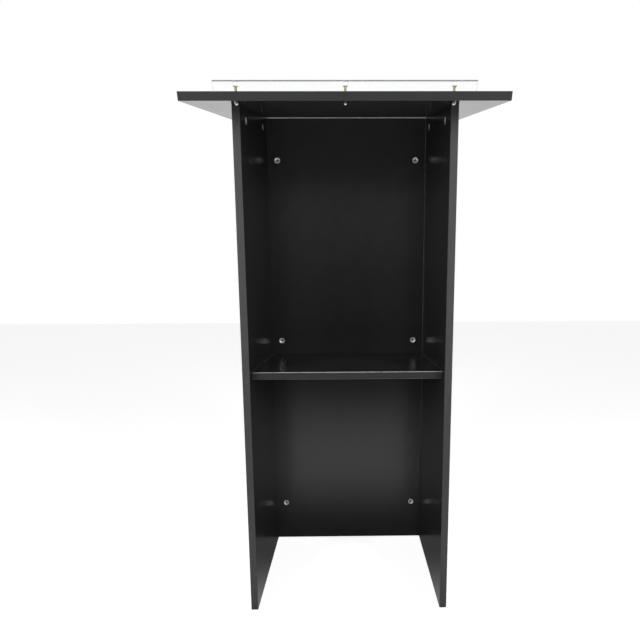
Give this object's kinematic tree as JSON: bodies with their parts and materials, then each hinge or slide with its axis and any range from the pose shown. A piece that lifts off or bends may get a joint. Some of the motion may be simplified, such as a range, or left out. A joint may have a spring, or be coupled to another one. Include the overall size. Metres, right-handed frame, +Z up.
{
  "type": "presentation lectern",
  "caption": "Floor-standing lectern of black laminated board with a sloping desk, a clear book stop and an open body with one shelf.",
  "frame": {"origin": "on the floor under the middle of the outline, the desk included", "axes": "+Z up, +Y towards the audience, +X to the right of the presenter, who stands at -Y"},
  "size_m": [0.6, 0.4194, 1.1688],
  "materials": {
    "black_laminate": "semi-gloss melamine laminate on particle board",
    "black_edge_band": "satin",
    "clear_acrylic": "polished",
    "beech_dowel": "raw",
    "yellow_zinc": "yellow passivated",
    "nickel": "polished",
    "zinc_casting": "as cast, bright",
    "bright_steel": "bright zinc plated",
    "glide_plastic": "matt"
  },
  "bodies": {
    "stand": {"book_stop": "clear_acrylic", "desk_band_far": "black_edge_band", "desk_band_left": "black_edge_band", "desk_band_near": "black_edge_band", "desk_band_right": "black_edge_band", "desk_board": "black_laminate", "desk_connecting_bolts": "bright_steel", "desk_dowels": "beech_dowel", "front_connecting_bolts": "bright_steel", "front_dowels": "beech_dowel", "front_panel": "black_laminate", "glide_left_far": "glide_plastic", "glide_left_near": "glide_plastic", "glide_nails": "bright_steel", "glide_right_far": "glide_plastic", "glide_right_near": "glide_plastic", "shelf_peg_left_far": "bright_steel", "shelf_peg_left_near": "bright_steel", "shelf_peg_right_far": "bright_steel", "shelf_peg_right_near": "bright_steel", "side_band_left_far": "black_edge_band", "side_band_left_near": "black_edge_band", "side_band_right_far": "black_edge_band", "side_band_right_near": "black_edge_band", "side_panel_left": "black_laminate", "side_panel_right": "black_laminate", "stop_cap_nuts": "nickel", "stop_screws": "yellow_zinc"},
    "shelf": {"shelf_board": "black_laminate", "shelf_band": "black_edge_band"},
    "front_cam_left_low": {"front_cam_left_low": "zinc_casting"},
    "front_cam_left_middle": {"front_cam_left_middle": "zinc_casting"},
    "front_cam_left_high": {"front_cam_left_high": "zinc_casting"},
    "front_cam_right_low": {"front_cam_right_low": "zinc_casting"},
    "front_cam_right_middle": {"front_cam_right_middle": "zinc_casting"},
    "front_cam_right_high": {"front_cam_right_high": "zinc_casting"},
    "desk_cam_left_near": {"desk_cam_left_near": "zinc_casting"},
    "desk_cam_left_far": {"desk_cam_left_far": "zinc_casting"},
    "desk_cam_right_near": {"desk_cam_right_near": "zinc_casting"},
    "desk_cam_right_far": {"desk_cam_right_far": "zinc_casting"}
  },
  "joints": [
    {"name": "shelf_lift", "type": "slide", "parent": "stand", "child": "shelf", "axis": [0, 0, 1], "range_m": [0, 0.03]},
    {"name": "front_cam_left_low_turn", "type": "hinge", "parent": "stand", "child": "front_cam_left_low", "pos_m": [-0.177, 0.14637, 0.109], "axis": [0, -1, 0], "range_deg": [0, 180]},
    {"name": "front_cam_left_middle_turn", "type": "hinge", "parent": "stand", "child": "front_cam_left_middle", "pos_m": [-0.177, 0.14637, 0.57199], "axis": [0, -1, 0], "range_deg": [0, 180]},
    {"name": "front_cam_left_high_turn", "type": "hinge", "parent": "stand", "child": "front_cam_left_high", "pos_m": [-0.177, 0.14637, 1.03499], "axis": [0, -1, 0], "range_deg": [0, 180]},
    {"name": "front_cam_right_low_turn", "type": "hinge", "parent": "stand", "child": "front_cam_right_low", "pos_m": [0.1764, 0.14637, 0.109], "axis": [0, -1, 0], "range_deg": [0, 180]},
    {"name": "front_cam_right_middle_turn", "type": "hinge", "parent": "stand", "child": "front_cam_right_middle", "pos_m": [0.1764, 0.14637, 0.57199], "axis": [0, -1, 0], "range_deg": [0, 180]},
    {"name": "front_cam_right_high_turn", "type": "hinge", "parent": "stand", "child": "front_cam_right_high", "pos_m": [0.1764, 0.14637, 1.03499], "axis": [0, -1, 0], "range_deg": [0, 180]},
    {"name": "desk_cam_left_near_turn", "type": "hinge", "parent": "stand", "child": "desk_cam_left_near", "pos_m": [-0.202, -0.09693, 1.04631], "axis": [1, 0, 0], "range_deg": [0, 180]},
    {"name": "desk_cam_left_far_turn", "type": "hinge", "parent": "stand", "child": "desk_cam_left_far", "pos_m": [-0.202, 0.09443, 1.09759], "axis": [1, 0, 0], "range_deg": [0, 180]},
    {"name": "desk_cam_right_near_turn", "type": "hinge", "parent": "stand", "child": "desk_cam_right_near", "pos_m": [0.202, -0.09693, 1.04631], "axis": [-1, 0, 0], "range_deg": [0, 180]},
    {"name": "desk_cam_right_far_turn", "type": "hinge", "parent": "stand", "child": "desk_cam_right_far", "pos_m": [0.202, 0.09443, 1.09759], "axis": [-1, 0, 0], "range_deg": [0, 180]}
  ]
}
